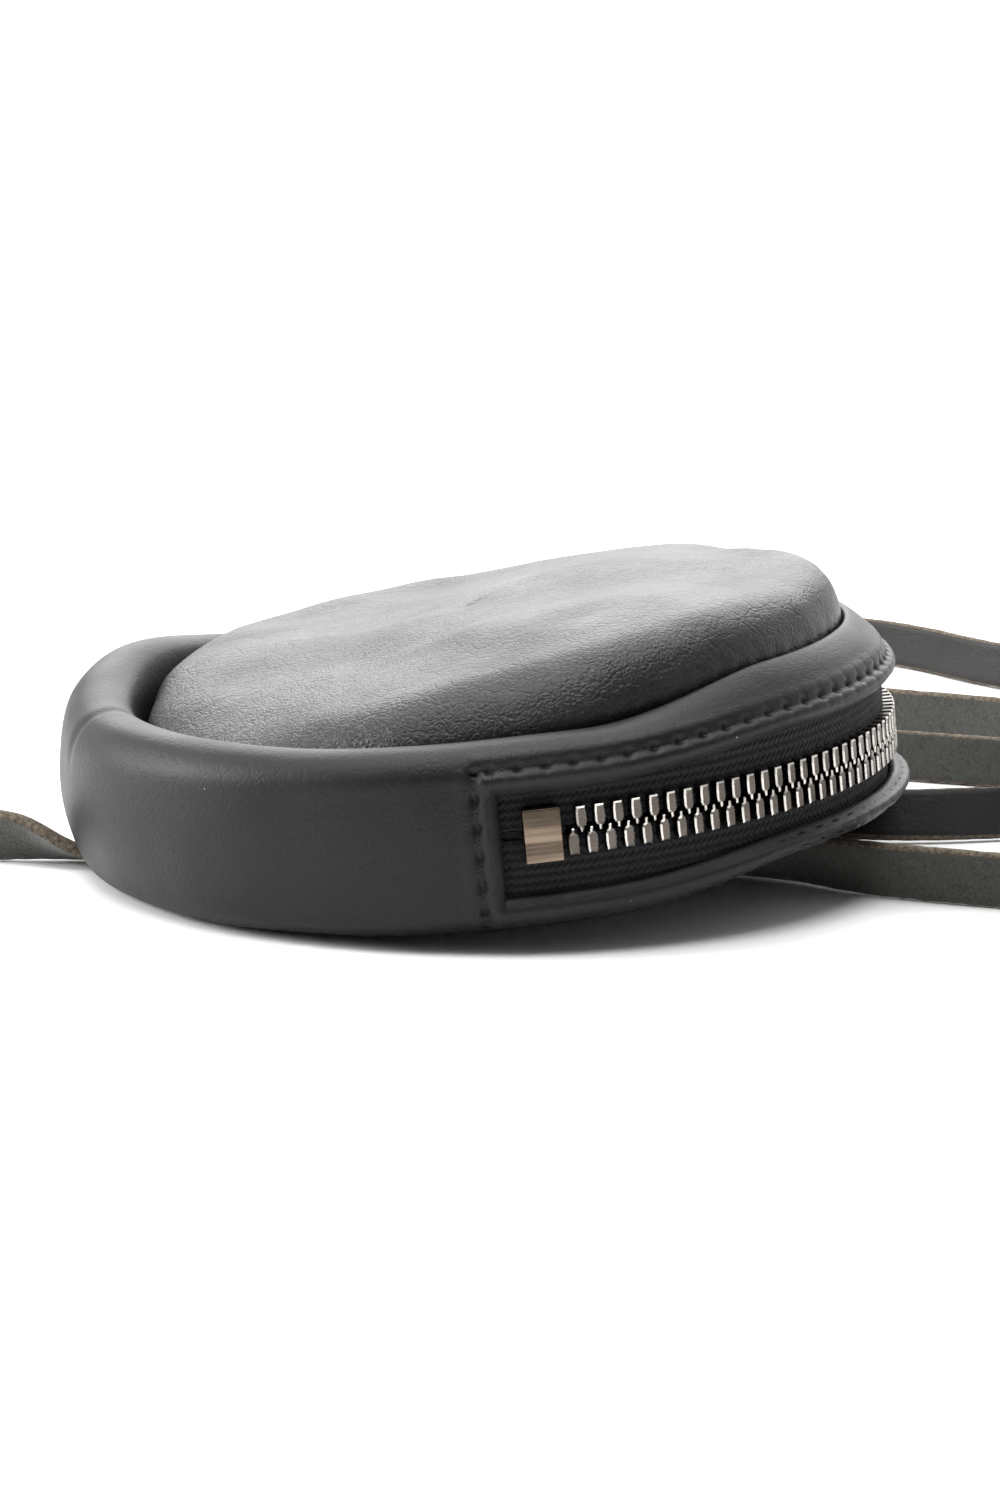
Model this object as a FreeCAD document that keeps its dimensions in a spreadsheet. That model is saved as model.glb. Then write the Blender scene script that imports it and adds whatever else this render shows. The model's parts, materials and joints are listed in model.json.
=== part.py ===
"""Round leather coin purse with a zip let into the right half of its side band.

The purse lies on its face.  X points to the zip side, Y to the rear, Z up.  The origin is on the
floor under the middle of the purse.  The purse itself is drawn in its own frame, whose origin is
the middle of the zip chain's circle, and which leans up on the zip side by a few degrees.
"""
import FreeCAD, Part
import Sketcher
import math
import os

from FreeCAD import Placement, Rotation, Vector

doc = FreeCAD.newDocument("coin_purse")
sheet = doc.addObject("Spreadsheet::Sheet", "Sizes")

SIZES = {
    # whole purse
    "outer_radius": 50.0, "leather": 1.4, "lean_degrees": 5.2, "chain_height": 13.0,
    # side band, measured from the plane of the zip chain
    "band_top": 12.4, "band_bottom": -10.6, "top_corner": 4.6, "bottom_corner": 3.0,
    # the two round faces
    "panel_radius": 43.2, "recess_radius": 44.0, "seam_radius": 43.3,
    "top_seam_level": 8.8, "top_rise": 12.2, "bottom_seam_level": -9.6, "bottom_drop": 6.0,
    # window for the zip
    "window_half_angle": 87.6, "window_top": 6.2, "window_bottom": -6.2,
    # flap that lifts when the zip is open
    "hinge_reach": 20.1, "hinge_level": 1.5, "flap_lift": 25.0, "fold_margin": 1.5, "flap_gap": 0.15,
    "flap_skirt": 1.3,
    # zip tape
    "tape_inner": 47.9, "tape_outer": 48.4, "tape_edge": 0.95, "tape_top": 7.7, "tape_bottom": -7.0,
    "tape_half_angle": 89.5,
    # zip teeth
    "tooth_pitch_degrees": 2.475, "tooth_width": 1.12, "tooth_depth": 2.8, "tooth_end": 2.65,
    "tooth_shoulder": 0.7, "nib_root": 0.5, "nib_width": 0.5, "nib_tip": -0.2,
    "slot_clearance": 0.02, "slot_depth": 0.05,
    "upper_last_tooth": 31, "flap_last_tooth": 26,
    "lower_last_tooth": 31,
    # stops
    "stop_start": 79.5, "bottom_stop_angle": 4.8, "top_stop_angle": 1.7, "stop_inner": 46.7,
    "stop_outer": 50.2, "bottom_stop_half": 3.0, "top_stop_low": 0.5,
    # slider and its pull
    "slider_half_angle": 5.5, "slider_park": 73.9, "slider_half_width": 3.8, "plate": 1.0,
    "front_plate_inner": 50.2, "back_plate_outer": 46.6, "flange": 0.75,
    "front_flange_inner": 48.85, "back_flange_outer": 47.45,
    "pin_radius_from_axis": 52.2, "crown_inner": 0.95, "crown_outer": 1.75, "crown_half_width": 1.0,
    "pull_length": 20.0, "pull_half_width": 3.0, "pull_thickness": 1.1, "pull_bar": 1.2,
    "pull_slot_half_width": 1.4, "pull_slot_end": 2.3, "pull_root_half_width": 2.6,
    "pull_waist": 0.6, "pull_taper": 1.5, "pull_corner": 1.0,
    # threads
    "thread": 0.6, "stitch_pitch": 3.2, "stitch_length": 2.5, "stitch_offset": 2.7,
    "column_offset": 2.4, "seam_thread": 0.35, "stitch_height": 0.35,
    "stitch_clearance": 0.05, "column_clear_degrees": 2.0, "bottom_thread_level": -6.8,
    "thread_clearance": 0.02, "room_gap": 0.1,
    # laces
    "lace_width": 6.5, "lace_thickness": 1.8, "channel_width": 9.5, "channel_height": 2.1,
    "channel_depth": 10.0,
    "tab_left": 2.0, "tab_right": 18.0, "tab_front": 43.0, "tab_rear": 56.0, "tab_riser": 2.5,
    "tab_riser_height": 6.0,
    "beyond": 60.0,
}

for row, (alias, number) in enumerate(SIZES.items(), start=1):
    sheet.set(f"A{row}", alias)
    sheet.set(f"B{row}", str(number))
    sheet.setAlias(f"B{row}", alias)
doc.recompute()

# Routes of the two laces on the floor, in plan.
LONG_LACE_ROUTE = [
    (2, 52.6), (-12, 52.6), (-28, 58.5), (-42, 71), (-49, 90), (-45, 112), (-30, 129), (-6, 139),
    (20, 146), (44, 146.5), (62, 137.5), (74.5, 116), (91, 103), (108, 95), (116, 78), (106, 62),
    (88, 61), (71.5, 73), (56, 80.5), (40, 88), (21, 98), (1, 104), (-17, 98), (-25, 83),
    (-18, 69), (0, 64.5), (20, 62.5), (38, 56.5), (54.4, 49.5), (68, 44), (80, 41),
]
SHORT_LACE_ROUTE = [
    (18, 50.5), (28, 50.5), (35.5, 45), (38, 36), (36.5, 26.5), (38.5, 17.5), (45.5, 11.5),
    (55.5, 10.8), (67, 13), (83, 15),
    (99, 9), (107, -8), (99, -26), (80, -32.5), (60, -26), (45.6, -20), (34, -11.5), (16, -8.5),
    (-5, -6.5), (-26, -5.8), (-45, -3.5), (-59, -0.8), (-72, 2),
]


def size(name):
    """The number in one cell of the sheet."""
    return float(sheet.get(name))


def purse_place(local=Placement()):
    """Placement of something that is drawn in the purse's own frame."""
    frame = Placement(Vector(0, 0, size("chain_height")), Rotation(Vector(0, 1, 0), -size("lean_degrees")))
    return frame * local


def turned(degrees):
    """A turn about the purse's axis."""
    return Placement(Vector(0, 0, 0), Rotation(Vector(0, 0, 1), degrees))


def lifted(level):
    """A move along the purse's axis."""
    return Placement(Vector(0, 0, level), Rotation())


def bound(kind, label, place, **expressions):
    """A document object whose sizes are bound to the sheet."""
    made = doc.addObject(kind, label)
    made.Label = label
    for name, expression in expressions.items():
        made.setExpression(name, expression)
    made.Placement = place
    return made


def boolean(kind, label, base, tool):
    made = doc.addObject(kind, label)
    made.Label = label
    made.Base = base
    made.Tool = tool
    return made


def cut(label, base, tool):
    return boolean("Part::Cut", label, base, tool)


def common(label, base, tool):
    return boolean("Part::Common", label, base, tool)


def fuse(label, base, tool):
    return boolean("Part::Fuse", label, base, tool)


def outline_sketch(body, label, plane, corners):
    """A closed outline whose corners are pairs of expressions for the sheet."""
    sketch = body.newObject("Sketcher::SketchObject", label)
    origin_plane = next(f for f in body.Origin.OriginFeatures if f.Role == plane)
    sketch.AttachmentSupport = [(origin_plane, "")]
    sketch.MapMode = "FlatFace"
    add_loop(sketch, corners)
    return sketch


def add_loop(sketch, corners):
    """Add one closed loop of lines to a sketch, each corner bound to two expressions."""
    places = [Vector(sheet.evalExpression(x), sheet.evalExpression(y), 0) for x, y in corners]
    first = sketch.GeometryCount
    count = len(corners)
    for i in range(count):
        sketch.addGeometry(Part.LineSegment(places[i], places[(i + 1) % count]))
    for i in range(count):
        sketch.addConstraint(Sketcher.Constraint("Coincident", first + i, 2, first + (i + 1) % count, 1))
    for i, (x, y) in enumerate(corners):
        for kind, expression, number in (("DistanceX", x, places[i].x), ("DistanceY", y, places[i].y)):
            index = sketch.addConstraint(Sketcher.Constraint(kind, -1, 1, first + i, 1, number))
            sketch.setExpression(f"Constraints[{index}]", expression)


def ring(label, corners, angle, place):
    """A piece turned about the purse's axis, spread evenly to both sides of the x axis."""
    body = doc.addObject("PartDesign::Body", label)
    body.Label = label
    sketch = outline_sketch(body, label + "_outline", "XZ_Plane", corners)
    revolution = body.newObject("PartDesign::Revolution", label + "_turn")
    revolution.Profile = sketch
    revolution.ReferenceAxis = (sketch, ["V_Axis"])
    revolution.Midplane = True
    revolution.setExpression("Angle", angle)
    body.Placement = place
    return body


def rectangle(inner, outer, low, high):
    return [(inner, low), (outer, low), (outer, high), (inner, high)]


def group(label, shapes):
    """Several separate solids of the same kind, kept in one node."""
    made = doc.addObject("Part::Feature", label)
    made.Label = label
    made.Shape = Part.makeCompound(shapes)
    return made


# ---------------------------------------------------------------- leather shell


def drum(label, radius, top, bottom, top_corner, bottom_corner):
    """A short cylinder with rounded rims: the filled form of the side band."""
    body = doc.addObject("PartDesign::Body", label)
    body.Label = label
    sketch = outline_sketch(body, label + "_outline", "XZ_Plane", rectangle("0", radius, bottom, top))
    revolution = body.newObject("PartDesign::Revolution", label + "_turn")
    revolution.Profile = sketch
    revolution.ReferenceAxis = (sketch, ["V_Axis"])
    revolution.Angle = 360
    doc.recompute()
    last = revolution
    for level, corner in ((top, top_corner), (bottom, bottom_corner)):
        height = sheet.evalExpression(level)
        edges = [
            f"Edge{i}" for i, edge in enumerate(last.Shape.Edges, start=1)
            if isinstance(edge.Curve, Part.Circle) and abs(edge.CenterOfMass.z - height) < 0.01
        ]
        fillet = body.newObject("PartDesign::Fillet", label + "_rim")
        fillet.Base = (last, edges)
        fillet.setExpression("Radius", corner)
        doc.recompute()
        last = fillet
    body.Placement = purse_place()
    return body


def dome(label, radius, rise, level):
    return bound("Part::Ellipsoid", label, purse_place(lifted(size(level))),
                 Radius1=rise, Radius2=radius, Radius3=radius)


def floor_block(label, height):
    """Everything above a level, as a block that holds the whole purse."""
    block = bound("Part::Box", label, Placement(), Length="2 * Sizes.beyond", Width="2 * Sizes.beyond",
                  Height="Sizes.beyond")
    block.Placement = Placement(Vector(-size("beyond"), -size("beyond"), height), Rotation())
    return block


def channel_block(label, grow):
    """Groove that the short lace presses into the purse's underside."""
    start = Vector(*SHORT_LACE_ROUTE[-6], 0)
    end = Vector(*SHORT_LACE_ROUTE[-3], 0)
    heading = math.degrees(math.atan2(end.y - start.y, end.x - start.x))
    block = bound("Part::Box", label, Placement(), Length="2 * Sizes.beyond",
                  Width=f"Sizes.channel_width + 2 * {grow}",
                  Height=f"Sizes.channel_height + {grow} + Sizes.channel_depth")
    width = size("channel_width") + 2 * sheet.evalExpression(grow)
    turn = Rotation(Vector(0, 0, 1), heading)
    middle = (start + end) * 0.5
    block.Placement = Placement(middle, turn) * Placement(
        Vector(-size("beyond"), -width / 2, -size("channel_depth")), Rotation())
    return block


def leather_form(label, inward, floor_height, channel_grow, recess_level):
    """The filled outline of the purse, drawn in from its outside by inward."""
    base = drum(label + "_drum", f"Sizes.outer_radius - {inward}", f"Sizes.band_top - {inward}",
                f"Sizes.band_bottom + {inward}", f"Sizes.top_corner - {inward}",
                f"Sizes.bottom_corner - {inward}")
    recess = bound("Part::Cylinder", label + "_recess", purse_place(lifted(recess_level)),
                   Radius=f"Sizes.recess_radius + {inward}", Height="Sizes.beyond")
    open_drum = cut(label + "_open_drum", base, recess)
    top = dome(label + "_top", f"Sizes.panel_radius - {inward}", f"Sizes.top_rise - {inward}", "top_seam_level")
    bottom = dome(label + "_bottom", f"Sizes.panel_radius - {inward}", f"Sizes.bottom_drop - {inward}",
                  "bottom_seam_level")
    with_top = fuse(label + "_with_top", open_drum, top)
    whole = fuse(label + "_whole", with_top, bottom)
    standing = common(label + "_standing", whole, floor_block(label + "_floor", floor_height))
    return cut(label, standing, channel_block(label + "_channel", channel_grow))


leather = size("leather")
outer_form = leather_form("outer_form", "0", 0, "0", size("top_seam_level"))
inner_form = leather_form("inner_form", "Sizes.leather", leather, "Sizes.leather",
                          size("top_seam_level") - leather)
shell = cut("leather_shell", outer_form, inner_form)

top_zone = bound("Part::Cylinder", "top_zone", purse_place(lifted(size("top_seam_level") - leather)),
                 Radius="Sizes.seam_radius", Height="Sizes.beyond")
bottom_zone = bound("Part::Cylinder", "bottom_zone",
                    purse_place(lifted(size("bottom_seam_level") + leather - size("beyond"))),
                    Radius="Sizes.seam_radius", Height="Sizes.beyond")
window_sector = bound("Part::Cylinder", "window_sector",
                      purse_place(turned(-size("window_half_angle")) * lifted(size("window_bottom"))),
                      Radius="Sizes.beyond", Height="Sizes.window_top - Sizes.window_bottom",
                      Angle="2 * Sizes.window_half_angle")

# ---------------------------------------------------------------- where the flap folds


def right_block(label, gap):
    """Everything on the zip side of the fold, above the hinge line."""
    corner = Vector(size("hinge_reach") + gap, -size("beyond"), size("hinge_level") - size("flap_skirt"))
    return bound("Part::Box", label, purse_place(Placement(corner, Rotation())),
                 Length="Sizes.beyond", Width="2 * Sizes.beyond", Height="Sizes.beyond")


def leaning_block(label):
    """Room that the flap sweeps through above the hinge line as it lifts."""
    hinge = Placement(Vector(size("hinge_reach"), 0, size("hinge_level")),
                      Rotation(Vector(0, 1, 0), -size("flap_lift") - size("fold_margin")))
    block = hinge * Placement(Vector(0, -size("beyond"), 0), Rotation())
    return bound("Part::Box", label, purse_place(block), Length="Sizes.beyond",
                 Width="2 * Sizes.beyond", Height="Sizes.beyond")


flap_side = right_block("flap_side", size("flap_gap"))
fold_side = right_block("fold_side", 0)
notch = fuse("notch", leaning_block("notch_lean"), right_block("notch_side", 0))
wedge = cut("wedge", leaning_block("wedge_lean"), fold_side)


def split_at_fold(whole, fixed, moving, fold=None):
    """Share a leather or tape ring between the fixed side, the flap and the fold between them."""
    pieces = [cut(fixed, whole, notch), common(moving, whole, flap_side)]
    if fold:
        pieces.append(common(fold, whole, wedge))
    return pieces


bottom_panel = common("bottom_panel", shell, bottom_zone)
top_whole = common("top_whole", shell, top_zone)
band_with_panel_rim = cut("band_with_panel_rim", shell, top_zone)
band_whole = cut("band_whole", band_with_panel_rim, bottom_zone)
band_open = cut("band_open", band_whole, window_sector)

nodes = [bottom_panel]
nodes += split_at_fold(top_whole, "top_panel", "top_panel_flap", "top_panel_fold")
nodes += split_at_fold(band_open, "gusset_band", "gusset_flap", "gusset_fold")

# ---------------------------------------------------------------- zip tape, teeth and stops

tape_span = "2 * Sizes.tape_half_angle"
lower_tape = ring("lower_zip_tape",
                  rectangle("Sizes.tape_inner", "Sizes.tape_outer", "Sizes.tape_bottom", "-Sizes.tape_edge"),
                  tape_span, purse_place())
upper_tape_whole = ring("upper_tape_whole",
                        rectangle("Sizes.tape_inner", "Sizes.tape_outer", "Sizes.tape_edge", "Sizes.tape_top"),
                        tape_span, purse_place())
nodes.append(lower_tape)
nodes += split_at_fold(upper_tape_whole, "upper_tape_ends", "upper_zip_tape")


def tooth_body():
    """One clamped metal tooth: x outward, y round the purse, z away from the chain's middle."""
    body = doc.addObject("PartDesign::Body", "tooth")
    half, nib = "Sizes.tooth_width / 2", "Sizes.nib_width / 2"
    front = outline_sketch(body, "tooth_front", "YZ_Plane", [
        (f"-{half}", "Sizes.tooth_end"), (f"-{half}", "Sizes.tooth_shoulder"),
        (f"-{nib}", "Sizes.nib_root"), (f"-{nib}", "Sizes.nib_tip"),
        (nib, "Sizes.nib_tip"), (nib, "Sizes.nib_root"),
        (half, "Sizes.tooth_shoulder"), (half, "Sizes.tooth_end"),
    ])
    pad = body.newObject("PartDesign::Pad", "tooth_pad")
    pad.Profile = front
    pad.Midplane = True
    pad.setExpression("Length", "Sizes.tooth_depth")
    doc.recompute()
    slot_half = "(Sizes.tape_outer - Sizes.tape_inner) / 2 + Sizes.slot_clearance"
    slot = outline_sketch(body, "tooth_slot", "XZ_Plane",
                          rectangle(f"-({slot_half})", slot_half, "Sizes.tape_edge - Sizes.slot_depth",
                                    "Sizes.tooth_end + Sizes.leather"))
    pocket = body.newObject("PartDesign::Pocket", "tooth_pocket")
    pocket.Profile = slot
    pocket.Midplane = True
    pocket.setExpression("Length", "3 * Sizes.tooth_depth")
    doc.recompute()
    assert pocket.Shape.Volume < 0.9 * pad.Shape.Volume, "the slot for the tape was not cut"
    return body


tooth = tooth_body()


def teeth(label, numbers, shift, turn_over):
    """A row of teeth on one tape; turn_over puts them below the middle of the chain."""
    middle = (size("tape_inner") + size("tape_outer")) / 2
    over = Rotation(Vector(1, 0, 0), 180 if turn_over else 0)
    shapes = []
    for number in numbers:
        place = turned((number + shift) * size("tooth_pitch_degrees")) * Placement(Vector(middle, 0, 0), over)
        copy = tooth.Shape.copy()
        copy.Placement = purse_place(place)
        shapes.append(copy)
    return group(label, shapes)


flap_last = int(size("flap_last_tooth"))
upper_last = int(size("upper_last_tooth"))
lower_last = int(size("lower_last_tooth"))
end_numbers = [sign * number for sign in (-1, 1) for number in range(flap_last + 1, upper_last + 1)]
nodes.append(teeth("upper_teeth", range(-flap_last, flap_last + 1), 0, False))
nodes.append(teeth("upper_teeth_ends", end_numbers, 0, False))
nodes.append(teeth("lower_teeth", range(-lower_last - 1, lower_last + 1), 0.5, True))

tapes = fuse("both_tapes", lower_tape, upper_tape_whole)


def stop(label, low, high, span, side):
    """A clamp round the tape just past the last tooth, at one end of the chain."""
    middle = side * (size("stop_start") + sheet.evalExpression(span) / 2)
    block = ring(label + "_block", rectangle("Sizes.stop_inner", "Sizes.stop_outer", low, high),
                 span, purse_place(turned(middle)))
    return cut(label, block, tapes)


nodes.append(stop("bottom_stop", "-Sizes.bottom_stop_half", "Sizes.bottom_stop_half",
                  "Sizes.bottom_stop_angle", -1))
nodes.append(stop("top_stop_upper", "Sizes.top_stop_low", "Sizes.tooth_end", "Sizes.top_stop_angle", 1))
nodes.append(stop("top_stop_lower", "-Sizes.tooth_end", "-Sizes.top_stop_low", "Sizes.top_stop_angle", 1))

# ---------------------------------------------------------------- slider and pull


def slider_shell(label, plate_far, plate_near, flange_end):
    """One plate of the slider, with a lip down each long side."""
    half, lip = "Sizes.slider_half_width", "(Sizes.slider_half_width - Sizes.flange)"
    corners = [(plate_far, f"-{half}"), (flange_end, f"-{half}"), (flange_end, f"-{lip}"),
               (plate_near, f"-{lip}"), (plate_near, lip), (flange_end, lip), (flange_end, half),
               (plate_far, half)]
    return ring(label, corners, "2 * Sizes.slider_half_angle", purse_place(turned(size("slider_park"))))


nodes.append(slider_shell("slider_front", "Sizes.front_plate_inner + Sizes.plate",
                          "Sizes.front_plate_inner", "Sizes.front_flange_inner"))
nodes.append(slider_shell("slider_back", "Sizes.back_plate_outer - Sizes.plate",
                          "Sizes.back_plate_outer", "Sizes.back_flange_outer"))

pin_offset = Placement(Vector(size("pin_radius_from_axis"), 0, 0), Rotation())
pin_place = purse_place(turned(size("slider_park")) * pin_offset)
crown_height = {"Height": "2 * Sizes.crown_half_width"}
crown_base = pin_place * lifted(-size("crown_half_width"))
crown_ring = cut("crown_ring",
                 bound("Part::Cylinder", "crown_outside", crown_base, Radius="Sizes.crown_outer", **crown_height),
                 bound("Part::Cylinder", "crown_inside", crown_base, Radius="Sizes.crown_inner", **crown_height))
under_crown = bound("Part::Cylinder", "under_crown", purse_place(lifted(-size("beyond") / 2)),
                    Radius="Sizes.front_plate_inner + Sizes.plate", Height="Sizes.beyond")
nodes.append(cut("slider_crown", crown_ring, under_crown))


def pull_body():
    """Flat metal pull whose end bar turns under the crown: y runs along it, z across."""
    body = doc.addObject("PartDesign::Body", "pull_tab")
    body.Label = "pull_tab"
    bar, root, wide = "Sizes.pull_bar / 2", "Sizes.pull_root_half_width", "Sizes.pull_half_width"
    waist, tip = f"{root} - Sizes.pull_waist", f"{wide} - Sizes.pull_corner"
    sketch = outline_sketch(body, "pull_outline", "YZ_Plane", [
        (bar, f"-{root}"), (bar, root), ("-Sizes.pull_slot_end", root),
        ("-Sizes.pull_length / 2", waist), ("-Sizes.pull_length + Sizes.pull_taper", wide),
        ("-Sizes.pull_length", tip), ("-Sizes.pull_length", f"-({tip})"),
        ("-Sizes.pull_length + Sizes.pull_taper", f"-{wide}"), ("-Sizes.pull_length / 2", f"-({waist})"),
        ("-Sizes.pull_slot_end", f"-{root}"),
    ])
    slot = "Sizes.pull_slot_half_width"
    add_loop(sketch, [(f"-{bar}", f"-{slot}"), (f"-{bar}", slot),
                      ("-Sizes.pull_slot_end", slot), ("-Sizes.pull_slot_end", f"-{slot}")])
    pad = body.newObject("PartDesign::Pad", "pull_pad")
    pad.Profile = sketch
    pad.Midplane = True
    pad.setExpression("Length", "Sizes.pull_thickness")
    body.Placement = pin_place
    return body


nodes.append(pull_body())

# ---------------------------------------------------------------- threads


def arc_stitch(radius, level, middle_angle):
    """A short length of thread lying round the band."""
    span = math.degrees(size("stitch_length") / radius)
    thread = size("thread")
    face = Part.makePlane(size("stitch_height"), thread, Vector(radius, 0, level - thread / 2),
                          Vector(0, -1, 0), Vector(1, 0, 0))
    solid = face.revolve(Vector(0, 0, 0), Vector(0, 0, 1), span)
    solid.Placement = purse_place(turned(middle_angle - span / 2))
    return solid


def upright_stitch(radius, level, angle):
    """A short length of thread standing along the purse's axis."""
    thread, length = size("thread"), size("stitch_length")
    solid = Part.makeBox(size("stitch_height"), thread, length, Vector(radius, -thread / 2, level - length / 2))
    solid.Placement = purse_place(turned(angle))
    return solid


def rim_radius(level):
    """Radius of the band's outside at a level, on its straight wall or its rounded rims."""
    top_start = size("band_top") - size("top_corner")
    bottom_start = size("band_bottom") + size("bottom_corner")
    if level > top_start:
        corner, past = size("top_corner"), level - top_start
    elif level < bottom_start:
        corner, past = size("bottom_corner"), bottom_start - level
    else:
        return size("outer_radius")
    return size("outer_radius") - corner + math.sqrt(corner ** 2 - past ** 2)


stitch_clear = size("stitch_clearance")
row_level = size("window_top") + size("stitch_offset")
low_level = size("window_bottom") - size("stitch_offset") / 2
row_radius = rim_radius(row_level - size("thread") / 2) + stitch_clear
low_radius = rim_radius(low_level + size("thread") / 2) + stitch_clear
pitch_angle = math.degrees(size("stitch_pitch") / size("outer_radius"))
column_angle = size("window_half_angle") + math.degrees(size("column_offset") / size("outer_radius"))
row_count = int(column_angle / pitch_angle)
row_angles = [pitch_angle * number for number in range(-row_count, row_count + 1)]
flap_edge = math.degrees(math.acos((size("hinge_reach") + size("stitch_length")) / size("outer_radius")))
fixed_reach = size("hinge_reach") - size("stitch_length") / 2 - (row_level - size("hinge_level")) / 2
fixed_edge = math.degrees(math.acos(fixed_reach / size("outer_radius")))

nodes.append(group("flap_stitches", [
    arc_stitch(row_radius, row_level, angle) for angle in row_angles if abs(angle) < flap_edge]))
column_count = int((row_level - low_level) / size("stitch_pitch"))
column_levels = [low_level + size("stitch_pitch") * (number + 0.5) for number in range(column_count)]
row_end = column_angle - size("column_clear_degrees")
fixed_stitches = [arc_stitch(row_radius, row_level, angle) for angle in row_angles
                  if fixed_edge < abs(angle) < row_end]
fixed_stitches += [arc_stitch(low_radius, low_level, angle) for angle in row_angles
                   if abs(angle) < row_end]
for side in (-1, 1):
    fixed_stitches += [upright_stitch(size("outer_radius") + stitch_clear, level, side * column_angle)
                       for level in column_levels]
nodes.append(group("window_stitches", fixed_stitches))

seam_ring = bound("Part::Torus", "top_seam_whole",
                  purse_place(lifted(size("top_seam_level") + size("seam_thread") + size("thread_clearance"))),
                  Radius1="(Sizes.panel_radius + Sizes.recess_radius) / 2", Radius2="Sizes.seam_thread")
nodes += split_at_fold(seam_ring, "top_seam_thread", "top_seam_thread_flap")
bottom_seam_ring = bound("Part::Torus", "bottom_seam_ring", purse_place(lifted(size("bottom_thread_level"))),
                         Radius1="Sizes.panel_radius", Radius2="Sizes.seam_thread")
room = leather_form("room", "Sizes.leather + Sizes.room_gap", leather + size("room_gap"),
                    "Sizes.leather + Sizes.room_gap",
                    size("top_seam_level") - leather)
nodes.append(common("bottom_seam_thread", bottom_seam_ring, room))

# ---------------------------------------------------------------- laces and the tab that holds them

tab_flat = bound("Part::Box", "tab_flat",
                 Placement(Vector(size("tab_left"), size("tab_front"), 0), Rotation()),
                 Length="Sizes.tab_right - Sizes.tab_left", Width="Sizes.tab_rear - Sizes.tab_front",
                 Height="Sizes.lace_thickness")
tab_riser = bound("Part::Box", "tab_riser",
                  Placement(Vector(size("tab_left"), size("tab_front"), 0), Rotation()),
                  Length="Sizes.tab_right - Sizes.tab_left", Width="Sizes.tab_riser",
                  Height="Sizes.tab_riser_height")
nodes.append(cut("lace_tab", fuse("tab_blank", tab_flat, tab_riser), outer_form))


def lace(label, route):
    """A flat strip on the floor: straight runs joined by arcs as large as the runs allow."""
    width, thickness = size("lace_width"), size("lace_thickness")
    points = [Vector(x, y, thickness / 2) for x, y in route]
    edges = []
    start = points[0]
    for before, corner, after in zip(points, points[1:], points[2:]):
        inward = (before - corner).normalize()
        outward = (after - corner).normalize()
        turn = math.pi - inward.getAngle(outward)
        reach = 0.45 * min(corner.distanceToPoint(before), corner.distanceToPoint(after))
        radius = reach / math.tan(turn / 2)
        middle = corner + (inward + outward).normalize() * (radius / math.cos(turn / 2) - radius)
        edges.append(Part.LineSegment(start, corner + inward * reach).toShape())
        edges.append(Part.Arc(corner + inward * reach, middle, corner + outward * reach).toShape())
        start = corner + outward * reach
    edges.append(Part.LineSegment(start, points[-1]).toShape())
    path = Part.Wire(edges)
    heading = (points[1] - points[0]).normalize()
    side = Vector(-heading.y, heading.x, 0) * (width / 2)
    up = Vector(0, 0, thickness / 2)
    corners = [points[0] - side - up, points[0] + side - up, points[0] + side + up, points[0] - side + up]
    section = Part.makePolygon(corners + [corners[0]])
    made = doc.addObject("Part::Feature", label)
    made.Label = label
    made.Shape = path.makePipeShell([section], True, False)
    expected = width * thickness * path.Length
    assert abs(made.Shape.Volume / expected - 1) < 0.02, f"{label} was not swept evenly"
    print(f"{label}: length {path.Length:.1f}")
    return made


nodes.append(lace("long_lace", LONG_LACE_ROUTE))
nodes.append(lace("short_lace", SHORT_LACE_ROUTE))

# ---------------------------------------------------------------- check and write

doc.recompute()
for item in doc.Objects:
    bad = [state for state in item.State if state in ("Invalid", "Error")]
    assert not bad, f"{item.Label}: {bad}"

os.makedirs("parts", exist_ok=True)
for node in nodes:
    shape = node.Shape
    assert not shape.isNull() and shape.isValid(), f"{node.Label} has no valid shape"
    assert shape.Solids, f"{node.Label} has no solid"
    shape.exportStep(f"parts/{node.Label}.step")
    box = shape.BoundBox
    print(f"{node.Label}: {len(shape.Solids)} solids, {shape.Volume:.0f} mm3, "
          f"x {box.XMin:.1f}..{box.XMax:.1f}, y {box.YMin:.1f}..{box.YMax:.1f}, z {box.ZMin:.1f}..{box.ZMax:.1f}")
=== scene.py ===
"""The looks of a round leather coin purse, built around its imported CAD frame.

Lengths in the tables below are millimetres in the purse's own frame, as in the CAD model: radius
from the purse's axis, angle from the middle of the zip, and level above the zip chain's plane.
"""

import json
import math

import bmesh
import bpy
import numpy as np
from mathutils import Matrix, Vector, noise


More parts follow.
